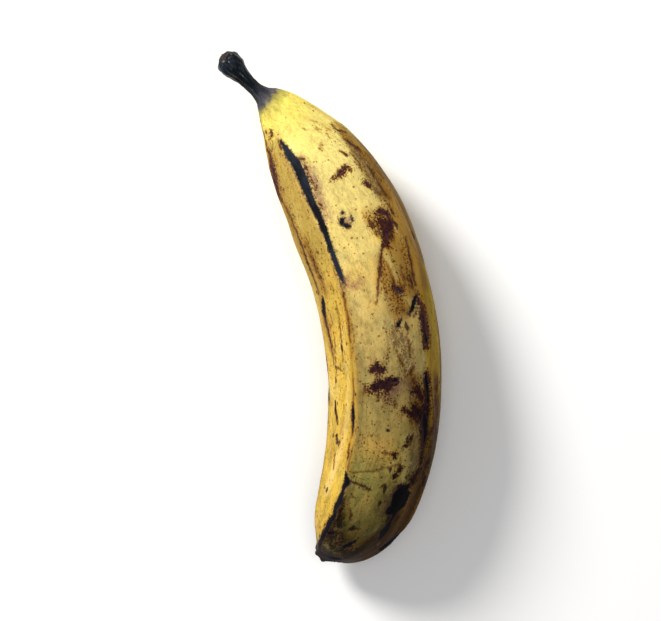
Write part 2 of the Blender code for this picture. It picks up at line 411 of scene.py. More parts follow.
# brown specks, thick or thin: a path as above, then how thick they are
SPECKLED = (
    (((0.204, 28, 1.0), (0.236, 33, 2.4), (0.277, 36, 4.4), (0.319, 42, 5.0), (0.355, 42, 3.8),
      (0.381, 37, 2.5)), 0.88),
    (((0.366, 68, 2.0), (0.383, 70, 3.0), (0.398, 66, 3.0)), 1.05),
    (((0.376, 58, 3.0), (0.403, 54, 4.6), (0.426, 60, 3.0)), 1.05),
    (((0.440, 74, 1.6), (0.473, 77, 4.0), (0.500, 74, 5.4), (0.526, 68, 5.4)), 0.80),
    (((0.424, 42, 2.0), (0.493, 48, 4.0)), 0.85),
    (((0.436, 62, 1.0), (0.500, 60, 2.0)), 0.90),
    (((0.650, 27, 3.0), (0.729, 22, 5.0), (0.810, 19, 4.0)), 0.95),
    (((0.561, 78, 4.1), (0.591, 71, 5.4), (0.625, 65, 4.5)), 0.88),
    (((0.655, 60, 4.1), (0.700, 48, 5.2), (0.745, 48, 3.8), (0.800, 44, 3.2)), 0.94),
    (((0.665, 109, 3.0), (0.679, 92, 4.0), (0.689, 76, 3.0)), 0.82),
    (((0.861, 119, 2.0), (0.890, 119, 4.0), (0.927, 113, 5.4), (0.937, 86, 5.4),
      (0.933, 59, 4.0)), 1.00),
    (((0.824, 54, 4.0), (0.861, 52, 4.0)), 0.80),
    (((0.160, 148, 2.4), (0.219, 152, 3.0), (0.287, 150, 2.6), (0.415, 155, 2.2)), 0.72),
    (((0.225, 104, 0.8), (0.252, 106, 1.5), (0.278, 107, 1.8), (0.297, 109, 1.5),
      (0.322, 112, 0.8)), 0.92),
    (((0.562, 80, 0.6), (0.585, 84, 0.8), (0.609, 90, 0.6)), 1.20),
    (((0.575, 72, 0.4), (0.592, 69, 0.8), (0.605, 68, 0.4)), 1.20),
    (((0.284, 80, 1.6), (0.283, 62, 2.6)), 0.80),
    (((0.191, 60, 1.5), (0.199, 52, 2.4), (0.229, 50, 2.4)), 0.62),
    (((0.170, 128, 1.5), (0.199, 130, 2.0), (0.258, 128, 1.5)), 0.55),
    (((0.356, 147, 2.0), (0.415, 149, 3.0), (0.473, 147, 2.0)), 0.85),
    (((0.473, 149, 2.0), (0.551, 151, 2.0)), 0.62),
    (((0.610, 142, 2.0), (0.689, 145, 2.0)), 0.50),
    (((0.297, -7, 4.0), (0.415, -3, 6.0), (0.512, 4, 4.0)), 0.60),
    (((0.551, 6, 4.0), (0.669, 0, 7.0), (0.790, 5, 7.0)), 0.90),
    (((0.500, -92, 6.0), (0.700, -88, 8.0)), 0.70),
    (((0.320, -150, 4.0), (0.600, -152, 6.0)), 0.65),
    (((0.851, 175, 3.0), (0.930, 200, 5.0), (0.940, 280, 5.0), (0.927, 359, 4.0)), 0.90),
)
# soft brown without an edge, written the same way: brown mottling of the skin, and painted shade
# along the outer edge and on the lower end towards the tip, where the fruit turns from the light
BROWNED_AND_SHADED = (
    # painted shade along the outer edge, over brown mottling
    (((0.210, 20, 1.0), (0.240, 25, 3.5), (0.284, 28, 5.5), (0.345, 32, 6.0)), 1.60),
    (((0.345, 32, 6.0), (0.440, 32, 5.5), (0.500, 30, 4.0)), 1.10),
    (((0.219, 14, 2.5), (0.336, 17, 4.5), (0.454, 18, 5.0)), 0.95),
    (((0.444, 74, 3.0), (0.480, 74, 5.0), (0.530, 68, 6.0)), 0.90),
    (((0.424, 52, 5.5), (0.500, 49, 6.5)), 1.05),
    (((0.440, 62, 1.0), (0.500, 60, 2.0)), 0.80),
    (((0.500, 33, 4.0), (0.610, 34, 3.0)), 0.55),
    (((0.366, 149, 1.5), (0.424, 151, 2.2), (0.473, 149, 1.5)), 0.90),
    (((0.640, 30, 2.5), (0.729, 24, 4.0)), 0.95),
    (((0.729, 24, 4.0), (0.810, 19, 4.0)), 1.50),
    (((0.364, 66, 1.8), (0.380, 69, 2.8), (0.394, 68, 2.0)), 0.80),
    (((0.376, 55, 3.5), (0.410, 56, 4.5)), 0.90),
    (((0.649, 61, 4.0), (0.705, 49, 6.0), (0.780, 42, 5.0)), 1.05),
    (((0.575, 70, 2.0), (0.600, 65, 3.0), (0.645, 66, 3.5)), 0.62),
    (((0.150, 155, 1.5), (0.238, 158, 2.6), (0.395, 161, 2.0), (0.551, 161, 1.6)), 0.80),
    (((0.677, 121, 1.4), (0.668, 117, 2.0)), 0.80),
    (((0.871, 119, 3.0), (0.927, 109, 6.0), (0.938, 69, 6.0)), 0.70),
    # painted shade on the lower end, turned from the light
    (((0.860, 40, 3.0), (0.900, 36, 6.0), (0.940, 30, 8.0), (0.960, 40, 6.0)), 2.20),
    (((0.770, 26, 3.5), (0.830, 20, 4.5), (0.880, 12, 5.0), (0.930, 0, 7.0)), 2.00),
    (((0.473, 124, -1.0), (0.590, 126, -0.8), (0.700, 126, -0.8), (0.806, 127, -1.0)), 2.40),
    (((0.170, 62, 2.0), (0.195, 46, 3.0), (0.214, 41, 2.0)), 0.35),
    (((0.356, -9, 6.0), (0.750, 0, 8.0)), 0.60),
    (((0.500, -92, 6.0), (0.760, -92, 8.0)), 0.55),
    (((0.300, -150, 5.0), (0.640, -150, 7.0)), 0.50),
)
# painted highlight: paler strips beside the sharpest ridge, written the same way
PAINTED_HIGHLIGHT_STRIPS = (
    (((0.540, 134, -0.4), (0.609, 135, 0.0), (0.658, 134, 0.4), (0.703, 134, 0.6)), 0.85),
    (((0.703, 134, 0.6), (0.761, 138, 1.0), (0.815, 146, 2.4), (0.870, 150, 2.0)), 1.00),
)
# dry, scratched and paler
SCUFFS = (
    ((0.551, 82, 2.4), (0.575, 73, 4.5), (0.595, 65, 5.0), (0.622, 55, 4.0)),
    ((0.649, 75, 1.6), (0.657, 67, 2.4), (0.673, 62, 1.6)),
    ((0.248, 36, 1.5), (0.297, 39, 3.0), (0.346, 45, 2.0)),
    ((0.729, 54, 2.5), (0.780, 45, 3.5)),
    ((0.500, -90, 3.0), (0.620, -86, 6.0), (0.700, -90, 3.0)),
    ((0.395, -11, 2.0), (0.434, 0, 4.0)),
)


def line_beside(paths):
    """For thin lines: how far aside of the nearest one, left or right of it, and how wide it is."""
    aside = np.full(share.shape, FAR_OFF)
    width = np.zeros(share.shape)
    for du, dv, su, sv, w0, w1 in legs(paths):
        run = np.hypot(su, sv)
        t = (du * su + dv * sv) / run**2
        beyond = np.maximum(np.maximum(-t, t - 1), 0) * run
        signed = (su * dv - sv * du) / run
        away = np.hypot(signed, beyond)
        nearer = away < np.abs(aside) - 1e-9
        aside[nearer] = (np.sign(signed) * away)[nearer]
        here = (w0 + (w1 - w0) * np.clip(t, 0, 1)) * (1 - ease(0.0, 0.8, beyond))
        width[nearer] = here[nearer]
    return aside, width


def thickest(marks, outside, inside):
    """How thick soft marks are at each point, from nothing at outside to all at inside, in mm."""
    depths = [thick * ease(outside, inside, depth_in([path])) for path, thick in marks]
    return np.max(depths, axis=0)


black_mm = depth_in(BLACK_RUBS)
bruise_mm = depth_in(BRUISES)
pale_mm = depth_in(PALE_BRUISES)
scuff_mm = depth_in(SCUFFS)
speckled = thickest(SPECKLED, -3.2, 3.0)
browned_and_shaded = thickest(BROWNED_AND_SHADED, -4.0, 4.0)
painted_highlight = thickest(PAINTED_HIGHLIGHT_STRIPS, -2.0, 1.6)
line_aside, line_width = line_beside(LINES)


def grown_noise(points, size, octaves, seed):
    """Smooth noise of about -1 to 1 at each point; size is the swell's own size in metres."""
    shift = Vector((seed, seed * 0.7, seed * 1.3))
    step = Vector(1 / s for s in size)
    flat = points.reshape(-1, 3)
    values = [noise.fractal(Vector(p) * step + shift, 0.9, 2.0, octaves) for p in flat]
    return np.array(values).reshape(points.shape[:-1])


# a crest along each ridge and a slight hollow beside it, in millimetres from the ridge
CREST_WIDTH = 1.4
HOLLOW_OFF, HOLLOW_WIDTH = 3.4, 1.8
off_ridges = np.radians(angle)[..., None] - ridge_angle[:, None, :]
off_ridges = np.abs((off_ridges + math.pi) % (2 * math.pi) - math.pi).min(axis=-1) * radius * 1000
crest = np.exp(-((off_ridges / CREST_WIDTH) ** 2)) * strength[:, None]
beside_crest = np.exp(-(((off_ridges - HOLLOW_OFF) / HOLLOW_WIDTH) ** 2)) * strength[:, None]

# where the stalk and its knob end and the tip starts, as shares of the length
STALK_END = (0.085, 0.12)
KNOB_END = (0.028, 0.05)
TIP_START = (0.962, 0.985)

# relief, in metres, out from the smooth skin
WAVES, FINE_WAVES = 0.00055, 0.00010
CREST_HEIGHT, HOLLOW_DEPTH = 0.00034, 0.00016
BLACK_SUNK, BRUISE_SUNK, SCUFF_SUNK = 0.00026, 0.00016, 0.00030
STALK_GROOVES, STALK_LUMPS = 0.00016, 0.00035
KNOB_LUMPS, KNOB_RIM = 0.00045, 0.00022
TORN_PITS, TORN_SUNK = 0.00040, 0.00010
TIP_LUMPS, TIP_PUCKERS = 0.00030, 0.00025
on_stalk = 1 - ease(*STALK_END, share)
at_knob = 1 - ease(*KNOB_END, share)
at_tip = ease(*TIP_START, share)
body = (1 - on_stalk) * (1 - at_tip)
round_fruit = np.radians(angle)
relief = body * WAVES * grown_noise(unbent, (0.016, 0.016, 0.045), 3, 3.1)
relief += body * FINE_WAVES * grown_noise(unbent, (0.0025, 0.0025, 0.02), 2, 7.7)
relief += body * CREST_HEIGHT * crest - body * HOLLOW_DEPTH * beside_crest
relief -= body * BLACK_SUNK * ease(-0.6, 0.8, black_mm)
relief -= body * BRUISE_SUNK * ease(-0.5, 1.0, bruise_mm)
relief -= body * SCUFF_SUNK * ease(0.0, 4.0, scuff_mm)
grooves = np.cos(round_fruit * 9 + 1.4 * np.sin(share * 60)) + 0.7 * np.cos(round_fruit * 14 + 2)
relief += on_stalk * (1 - 0.5 * at_knob) * STALK_GROOVES * grooves
relief += on_stalk * STALK_LUMPS * grown_noise(unbent, (0.003, 0.003, 0.009), 3, 1.9)
torn_face = 1 - ease(0.004, 0.009, share + 0.002 * np.cos(round_fruit * 3 + 1.0))
relief += at_knob * KNOB_LUMPS * grown_noise(unbent, (0.0035, 0.0035, 0.003), 4, 5.3)
relief += torn_face * TORN_PITS * grown_noise(unbent, (0.0014, 0.0014, 0.0014), 3, 2.6)
relief += KNOB_RIM * np.exp(-(((share - 0.011) / 0.0028) ** 2)) - TORN_SUNK * torn_face
relief += at_tip * TIP_LUMPS * grown_noise(unbent, (0.0016, 0.0016, 0.004), 4, 8.8)
relief += at_tip * TIP_PUCKERS * np.cos(round_fruit * 6 + 0.8)

along_step = np.gradient(smooth_skin, axis=0)
round_step = np.roll(smooth_skin, -1, axis=1) - np.roll(smooth_skin, 1, axis=1)
normal = np.cross(round_step, along_step)
normal /= np.linalg.norm(normal, axis=-1, keepdims=True) + 1e-12
outwards = np.sign((normal * across).sum(-1).mean())
normal *= outwards
skin = smooth_skin + normal * relief[..., None]
skin[0] = skin[0].mean(axis=0)
skin[-1] = skin[-1].mean(axis=0)

low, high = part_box("plantain")
smooth_low = smooth_skin.reshape(-1, 3).min(0)
smooth_high = smooth_skin.reshape(-1, 3).max(0)
shift = np.array(
    [
        (low.x + high.x) / 2 - (smooth_low[0] + smooth_high[0]) / 2,
        (low.y + high.y) / 2 - (smooth_low[1] + smooth_high[1]) / 2,
        low.z - smooth_low[2] - PRESSED_FLAT,
    ]
)
skin = skin + shift
skin[..., 2] = np.maximum(skin[..., 2], low.z)

peel_mesh = bpy.data.meshes.new("plantain_skin")
ball = bmesh.new()
ball.loops.layers.uv.new("OFBake")
bmesh.ops.create_uvsphere(ball, u_segments=COLUMNS, v_segments=RINGS, radius=1.0, calc_uvs=True)
ball.to_mesh(peel_mesh)
ball.free()
on_ball = np.zeros(len(peel_mesh.vertices) * 3)
peel_mesh.vertices.foreach_get("co", on_ball)
on_ball = on_ball.reshape(-1, 3)
ring = np.rint(np.arccos(np.clip(-on_ball[:, 2], -1, 1)) / math.pi * RINGS).astype(int)
turned = np.arctan2(on_ball[:, 1], on_ball[:, 0]) / (2 * math.pi)
column = np.rint(turned * COLUMNS).astype(int) % COLUMNS
peel_mesh.vertices.foreach_set("co", skin[ring, column].astype(np.float32).ravel())

# the faces by their angles in degrees, and how crowded the freckles are on them
wide_face = ease(26, 50, angle) * (1 - ease(114, 124, angle))
narrow_face = ease(117, 126, angle) * (1 - ease(168, 178, np.abs(angle))) * (angle > 0)
outer_edge = 22 + 22 * ease(0.42, 0.55, share)
outer_face = (1 - ease(outer_edge, outer_edge + 16, np.abs(angle + 8))) * ease(0.16, 0.30, share)
clear = narrow_face * ease(0.52, 0.72, share)
spots = 0.08 + 0.17 * ease(0.16, 0.34, share)
spots += 0.45 * ease(0.4, 0.95, share) * (1 - 0.6 * clear)
spots += 0.3 * (1 - wide_face) * (1 - 0.7 * clear)

# what the peel's material reads at each point of the skin
carried = {
    "unbent": unbent,
    "share": share,
    "ridge": crest,
    "black": black_mm,
    "bruise": bruise_mm,
    "pale": pale_mm,
    "scuff": scuff_mm,
    "line_aside": line_aside,
    "line_width": line_width,
    "speckled": speckled,
    "browned_and_shaded": browned_and_shaded,
    "painted_highlight": painted_highlight,
    "narrow": narrow_face * ease(0.13, 0.2, share),
    "outer": outer_face,
    "spots": np.clip(spots, 0, 1),
}
for name, values in carried.items():
    kind, part = ("FLOAT_VECTOR", "vector") if values.ndim == 3 else ("FLOAT", "value")
    layer = peel_mesh.attributes.new(name, kind, "POINT")
    layer.data.foreach_set(part, values[ring, column].astype(np.float32).ravel())

peel = bpy.data.objects.new("plantain_skin", peel_mesh)
bpy.context.scene.collection.objects.link(peel)
fixing = bmesh.new()
fixing.from_mesh(peel_mesh)
bmesh.ops.recalc_face_normals(fixing, faces=fixing.faces)
fixing.to_mesh(peel_mesh)
fixing.free()
peel_mesh.shade_smooth()


def colour(red, green, blue):
    """A colour given as it looks on a screen, from 0 to 255, in the linear form of shaders."""
    shades = [((c / 255 + 0.055) / 1.055) ** 2.4 for c in (red, green, blue)]
    return (*shades, 1.0)


def place(tree, kind, inputs=(), **settings):
    """Puts a node in a tree; each input is a value or another node's output."""
    made = tree.nodes.new("ShaderNode" + kind)
    for name, value in settings.items():
        setattr(made, name, value)
    for name, value in dict(inputs).items():
        if isinstance(value, bpy.types.NodeSocket):
            tree.links.new(value, made.inputs[name])
        else:
            made.inputs[name].default_value = value
    return made


def reckon(tree, operation, *values):
    return place(tree, "Math", enumerate(values), operation=operation).outputs[0]


def blend_in(tree, mask, under, over, way="MIX"):
    layers = {0: mask, 6: under, 7: over}
    return place(tree, "Mix", layers, data_type="RGBA", blend_type=way).outputs[2]


def between(tree, value, low, high, to_low=0.0, to_high=1.0):
    """Value eased from low to high onto to_low to to_high."""
    settings = {0: value, 1: low, 2: high, 3: to_low, 4: to_high}
    return place(tree, "MapRange", settings, interpolation_type="SMOOTHSTEP").outputs[0]


def new_group(name, inputs, outputs):
    tree = bpy.data.node_groups.new(name, "ShaderNodeTree")
    for label, kind, value in inputs:
        made = tree.interface.new_socket(label, in_out="INPUT", socket_type="NodeSocket" + kind)
        if value is not None:
            made.default_value = value
    for label, kind in outputs:
        tree.interface.new_socket(label, in_out="OUTPUT", socket_type="NodeSocket" + kind)
    return tree, tree.nodes.new("NodeGroupInput").outputs, tree.nodes.new("NodeGroupOutput").inputs


# a mark's mask with a ragged, speckled edge, from how deep inside the mark a point is
ragged, given, result = new_group(
    "ragged_mark",
    [
        ("Depth", "Float", -4.0),
        ("Vector", "Vector", None),
        ("Scale", "Float", 500.0),
        ("Raggedness", "Float", 0.8),
        ("Speckle", "Float", 0.5),
        ("Softness", "Float", 0.3),
    ],
    [("Mask", "Float")],
)
grit = place(
    ragged,
    "TexNoise",
    {"Vector": given["Vector"], "Scale": given["Scale"], "Detail": 5.0, "Roughness": 0.62},
)
specks = place(
    ragged,
    "TexNoise",
    {"Vector": given["Vector"], "Scale": 1150.0, "Detail": 2.0, "Roughness": 0.5},
)
swing = reckon(ragged, "SUBTRACT", grit.outputs["Fac"], 0.5)
swing = reckon(ragged, "MULTIPLY", swing, reckon(ragged, "MULTIPLY", given["Raggedness"], 4.0))
shiver = reckon(ragged, "SUBTRACT", specks.outputs["Fac"], 0.5)
shiver = reckon(ragged, "MULTIPLY", shiver, reckon(ragged, "MULTIPLY", given["Speckle"], 4.0))
edge = reckon(ragged, "ADD", given["Depth"], reckon(ragged, "ADD", swing, shiver))
edge = reckon(ragged, "DIVIDE", edge, given["Softness"])
ragged.links.new(between(ragged, edge, -1.0, 1.0), result["Mask"])

# round freckles of many sizes, kept or left out by chance
freckled, given, result = new_group(
    "freckles",
    [
        ("Vector", "Vector", None),
        ("Scale", "Float", 300.0),
        ("Size", "Float", 0.2),
        ("Share", "Float", 0.3),
    ],
    [("Mask", "Float")],
)
finer = reckon(freckled, "MULTIPLY", given["Scale"], 3.0)
jitter = place(freckled, "TexNoise", {"Vector": given["Vector"], "Scale": finer, "Detail": 3.0})
drift = place(
    freckled, "VectorMath", {0: jitter.outputs["Color"], 1: (-0.5, -0.5, -0.5)}, operation="ADD"
)
far = reckon(freckled, "DIVIDE", 0.55, given["Scale"])
drift = place(freckled, "VectorMath", {0: drift.outputs[0], "Scale": far}, operation="SCALE")
warped = place(freckled, "VectorMath", {0: given["Vector"], 1: drift.outputs[0]}, operation="ADD")
cells = place(
    freckled,
    "TexVoronoi",
    {"Vector": warped.outputs[0], "Scale": given["Scale"], "Randomness": 1.0},
    feature="F1",
)
luck = place(freckled, "SeparateColor", {0: cells.outputs["Color"]})
odds = reckon(freckled, "POWER", luck.outputs[0], 2.0)
spread = reckon(freckled, "MULTIPLY", odds, given["Size"])
rim = reckon(freckled, "SUBTRACT", cells.outputs["Distance"], spread)
dot = between(freckled, rim, -0.05, 0.03, 1.0, 0.0)
kept = reckon(freckled, "LESS_THAN", luck.outputs[1], given["Share"])
freckled.links.new(reckon(freckled, "MULTIPLY", dot, kept), result["Mask"])

# mottling where noise rises above a level, which thickness lowers: a stain and its dark core
mottled, given, result = new_group(
    "mottling",
    [
        ("Vector", "Vector", None),
        ("Scale", "Float", 300.0),
        ("Detail", "Float", 3.0),
        ("Thickness", "Float", 0.3),
    ],
    [("Stain", "Float"), ("Core", "Float")],
)
blotchy = place(
    mottled,
    "TexNoise",
    {
        "Vector": given["Vector"],
        "Scale": given["Scale"],
        "Detail": given["Detail"],
        "Roughness": 0.60,
    },
)
level = reckon(mottled, "SUBTRACT", 0.72, reckon(mottled, "MULTIPLY", given["Thickness"], 0.22))
over_level = reckon(mottled, "SUBTRACT", blotchy.outputs["Fac"], level)
mottled.links.new(between(mottled, over_level, -0.035, 0.035), result["Stain"])
mottled.links.new(between(mottled, over_level, 0.045, 0.10), result["Core"])

# the peel's colours as they look on a screen, from 0 to 255; a pair runs from one to the other
RIPENING_AND_SHADE = (  # share of the length, colour
    (0.12, (240, 222, 104)),
    (0.24, (238, 217, 130)),
    (0.42, (232, 204, 116)),
    (0.53, (190, 164, 94)),
    (0.62, (156, 136, 78)),
    (0.73, (144, 124, 66)),
    (0.81, (132, 122, 60)),
    # the darkest stops, towards the tip, are partly painted shade
    (0.87, (102, 92, 44)),
    (0.93, (58, 50, 22)),
)
NARROW_FACE = ((170, 140, 62), (194, 160, 62))
OUTER_FACE = ((170, 139, 28), (112, 88, 24))
AMBER = (226, 170, 70)
CREAM = (234, 216, 142)
DULL_BROWN = (150, 114, 62)
GRAIN_BROWN = (156, 112, 52)
NECK_GREEN = (116, 112, 50)
LIGHT_SHADE = (194, 166, 120)
DEEP_SHADE = (162, 148, 88)
WORN_RIDGE = ((184, 140, 80), (140, 106, 46))
HIGHLIGHT_CREAM = (216, 186, 116)
RIDGE_BROWN = (96, 60, 36)
CLOTS = ((76, 44, 34), (34, 26, 17))
STAINS = ((204, 180, 154), (184, 178, 160))
FINE_STAINS = ((190, 160, 130), (172, 164, 144))
SPECKS = ((56, 32, 26), (24, 18, 15))
DRY_PEEL = (178, 160, 106)
PALE_SCRATCH = (222, 206, 168)
BROWN_SCRATCH = (104, 70, 44)
CROSS_SCRATCH = (104, 66, 38)
FRECKLE_TINT = (158, 130, 98)
PINK_TINT = (170, 142, 196)
BRUISE_RIM = ((176, 132, 108), (150, 132, 108))
MAROON = ((84, 44, 38), (50, 18, 18))
NAVY = ((40, 22, 38), (15, 8, 14))
LINE_TINT = (196, 158, 124)
LINE_BROWN = ((66, 38, 32), (38, 20, 16))
BLACK_RIM = (70, 46, 42)
BLACK_DEEP = ((16, 16, 22), (3, 3, 6))
BLACK_PAINTED_SHEEN = ((36, 42, 52), (11, 11, 18))
BARK = ((6, 8, 11), (20, 31, 44))
BARK_PAINTED_GLINT = (128, 144, 160)
NECK_GREY = ((52, 50, 56), (78, 76, 82))
TORN_FIBRE = ((16, 12, 11), (112, 70, 38))
TIP_SCAR = (34, 22, 26)

finish = bpy.data.materials.new("plantain_peel")
finish.use_nodes = True
tree = finish.node_tree
tree.nodes.clear()
shader = tree.nodes.new("ShaderNodeBsdfPrincipled")
surface = tree.nodes.new("ShaderNodeOutputMaterial")
tree.links.new(shader.outputs[0], surface.inputs["Surface"])


def painted(name, output="Fac"):
    return place(tree, "Attribute", attribute_name=name).outputs[output]


def mapped(vector, **settings):
    return place(tree, "Mapping", {"Vector": vector, **settings}).outputs[0]


def cloudy(vector, scale, detail=4.0, roughness=0.6):
    settings = {"Vector": vector, "Scale": scale, "Detail": detail, "Roughness": roughness}
    return place(tree, "TexNoise", settings).outputs["Fac"]


def grouped(group, **inputs):
    return place(tree, "Group", inputs, node_tree=group).outputs


def times(*values):
    return reckon(tree, "MULTIPLY", *values)


def plus(*values):
    return reckon(tree, "ADD", *values)


def minus(*values):
    return reckon(tree, "SUBTRACT", *values)


def larger(*values):
    return reckon(tree, "MAXIMUM", *values)


def eased(*settings):
    return between(tree, *settings)


def wavering(pattern, reach):
    """A noise pattern as a swing of up to reach either way."""
    return between(tree, pattern, 0.3, 0.7, -reach, reach)


def two_tone(mask, pair):
    return blend_in(tree, mask, colour(*pair[0]), colour(*pair[1]))


def over(mask, amount, shade, way="MIX"):
    """Lays a colour over the skin where the mask is; amount is how much it covers."""
    shade = colour(*shade) if isinstance(shade, tuple) else shade
    return blend_in(tree, times(mask, amount), skin_colour, shade, way)


def ragged_mark(depth, vector, scale, raggedness, speckle, softness):
    made = grouped(
        ragged,
        Depth=depth,
        Vector=vector,
        Scale=scale,
        Raggedness=raggedness,
        Speckle=speckle,
        Softness=softness,
    )
    return made["Mask"]


def mottled_over(vector, scale, detail, stain, stain_cover, core, core_cover):
    """Lays mottling over the skin: a stain, and a dark core where it is thick."""
    made = grouped(mottled, Vector=vector, Scale=scale, Detail=detail, Thickness=thickness)
    stained = over(made["Stain"], stain_cover, stain, "MULTIPLY")
    return blend_in(tree, times(made["Core"], core_cover), stained, core)


where = painted("unbent", "Vector")
stretched = mapped(where, Scale=(1.0, 1.0, 0.5))
lengthwise = mapped(where, Scale=(1.0, 1.0, 0.12))
leaning = mapped(mapped(where, Rotation=(0.2, 0.62, 0.0)), Scale=(1.0, 1.0, 0.16))
tilted = mapped(mapped(where, Rotation=(-0.2, -0.35, 0.0)), Scale=(1.0, 1.0, 0.14))
share_here = painted("share")
ridge_here = painted("ridge")
black_here = painted("black")
bruise_here = painted("bruise")
pale_here = painted("pale")
scuff_here = painted("scuff")
line_aside_here = painted("line_aside")
line_width_here = painted("line_width")
speckled_here = painted("speckled")
browned_and_shaded_here = painted("browned_and_shaded")
painted_highlight_here = painted("painted_highlight")
narrow_here = painted("narrow")
outer_here = painted("outer")
spots_here = painted("spots")

# ripe yellows: clear near the neck, then khaki, then olive brown towards the tip, its darkest end
# partly painted shade
patchy = cloudy(where, 28.0, 3.0, 0.5)
cloud = cloudy(stretched, 75.0, 5.0, 0.62)
mottle = cloudy(stretched, 210.0, 6.0, 0.65)
grain = cloudy(lengthwise, 560.0, 3.0)
dust = cloudy(stretched, 950.0, 4.0, 0.7)
ripeness = plus(share_here, times(minus(cloud, 0.5), 0.22))
ramp = place(tree, "ValToRGB", {"Fac": ripeness})
while len(ramp.color_ramp.elements) < len(RIPENING_AND_SHADE):
    ramp.color_ramp.elements.new(0.5)
for element, (at, shade) in zip(ramp.color_ramp.elements, RIPENING_AND_SHADE):
    element.position = at
    element.color = colour(*shade)
skin_colour = ramp.outputs["Color"]

# the narrow face is a warmer yellow, browner near the neck
skin_colour = over(narrow_here, 0.92, two_tone(eased(ripeness, 0.32, 0.58), NARROW_FACE))

# clouded, mottled and dusty, more so away from the neck; the outer face is tan
age = eased(share_here, 0.15, 0.55, 0.35, 1.0)
skin_colour = over(eased(patchy, 0.50, 0.75), 0.30, AMBER)
skin_colour = over(eased(cloud, 0.52, 0.70), 0.25, CREAM)
skin_colour = over(times(age, eased(cloud, 0.48, 0.30)), 0.38, DULL_BROWN)
outer_tan = two_tone(eased(share_here, 0.56, 0.76), OUTER_FACE)
skin_colour = blend_in(tree, eased(outer_here, 0.1, 0.8, 0.0, 0.95), skin_colour, outer_tan)
swell = plus(times(wavering(mottle, 0.24), age), eased(dust, 0.30, 0.70, 0.82, 1.18))
swollen = place(tree, "VectorMath", {0: skin_colour, "Scale": swell}, operation="SCALE")
skin_colour = swollen.outputs[0]
skin_colour = over(eased(grain, 0.52, 0.76), 0.26, GRAIN_BROWN)

# still greenish where the neck starts
green_edge = plus(share_here, wavering(mottle, 0.008))
skin_colour = over(eased(green_edge, 0.138, 0.112), 0.62, NECK_GREEN)

# soft brown: brown mottling, and painted shade where the fruit turns from the light
shade_mask = plus(plus(browned_and_shaded_here, wavering(mottle, 0.32)), wavering(dust, 0.18))
skin_colour = over(eased(shade_mask, 0.10, 1.0), 0.90, LIGHT_SHADE, "MULTIPLY")
skin_colour = over(eased(shade_mask, 0.70, 2.2), 0.95, DEEP_SHADE, "MULTIPLY")

# ridges worn tan, with a painted highlight in strips beside the sharpest, and a brown line where
# they are sharpest
worn = times(ridge_here, eased(cloud, 0.36, 0.58, 0.3, 1.0))
skin_colour = over(worn, 0.60, two_tone(eased(share_here, 0.40, 0.56), WORN_RIDGE))
highlight_mask = times(painted_highlight_here, eased(mottle, 0.3, 0.7, 0.6, 1.0))
skin_colour = over(highlight_mask, 0.75, HIGHLIGHT_CREAM)
ridge_line = eased(plus(ridge_here, times(cloud, 1.1)), 1.40, 1.54)
skin_colour = over(ridge_line, 0.70, RIDGE_BROWN)

# brown mottling, thin all over and thick where it was painted
thin = plus(times(spots_here, 0.42), eased(patchy, 0.35, 0.70, -0.15, 0.25))
nearest = larger(bruise_here, minus(black_here, 0.6))
near_mark = eased(nearest, -3.0, 0.6, 0.0, 0.30)
thickness = plus(larger(speckled_here, thin), near_mark)
lower_end = eased(share_here, 0.66, 0.86)
clot = two_tone(lower_end, CLOTS)
speck = two_tone(eased(share_here, 0.65, 0.90), SPECKS)
stain = two_tone(lower_end, STAINS)
skin_colour = mottled_over(stretched, 330.0, 5.0, stain, 0.70, clot, 0.80)
skin_colour = mottled_over(lengthwise, 620.0, 3.0, stain, 0.65, clot, 0.75)
stain = two_tone(lower_end, FINE_STAINS)
skin_colour = mottled_over(where, 1150.0, 2.0, stain, 0.90, speck, 0.90)

# dry scuffs with pale and brown scratches
scuff_mask = ragged_mark(
    scuff_here, stretched, scale=170.0, raggedness=2.6, speckle=0.5, softness=2.6
)
skin_colour = over(scuff_mask, 0.25, DRY_PEEL)
scratch = cloudy(leaning, 760.0, 3.0, 0.55)
pale_scratch = times(eased(scratch, 0.61, 0.70), scuff_mask)
skin_colour = over(pale_scratch, 0.60, PALE_SCRATCH)
dark_scratch = times(eased(scratch, 0.40, 0.32), larger(scuff_mask, speckled_here))
skin_colour = over(dark_scratch, 0.60, BROWN_SCRATCH)
cross_scratch = eased(cloudy(tilted, 520.0, 2.0, 0.5), 0.66, 0.72)
skin_colour = over(times(cross_scratch, spots_here), 0.80, CROSS_SCRATCH)

# freckles, thicker near bruises and towards the tip: fine ones, flecks and blots
crowd = plus(spots_here, times(near_mark, 2.0))
fine, flecks, blots = (
    grouped(freckled, Vector=vector, Scale=scale, Size=size, Share=times(crowd, many))["Mask"]
    for vector, scale, size, many in (
        (where, 820.0, 0.52, 0.62),
        (stretched, 360.0, 0.42, 0.46),
        (stretched, 130.0, 0.18, 0.20),
    )
)
skin_colour = over(fine, 0.85, FRECKLE_TINT, "MULTIPLY")
skin_colour = over(larger(flecks, blots), 0.88, speck)

# bruises: greyish pink below the skin, then a red-brown edge and a maroon body
pale_mask = ragged_mark(
    pale_here, stretched, scale=240.0, raggedness=1.4, speckle=1.4, softness=3.0
)
skin_colour = over(pale_mask, 0.85, PINK_TINT, "MULTIPLY")
bruise_edge = ragged_mark(
    plus(bruise_here, 0.7), where, scale=300.0, raggedness=1.1, speckle=1.4, softness=1.1
)
skin_colour = over(bruise_edge, 0.80, two_tone(lower_end, BRUISE_RIM), "MULTIPLY")
bruise_mask = ragged_mark(
    bruise_here, where, scale=300.0, raggedness=1.1, speckle=1.4, softness=0.7
)
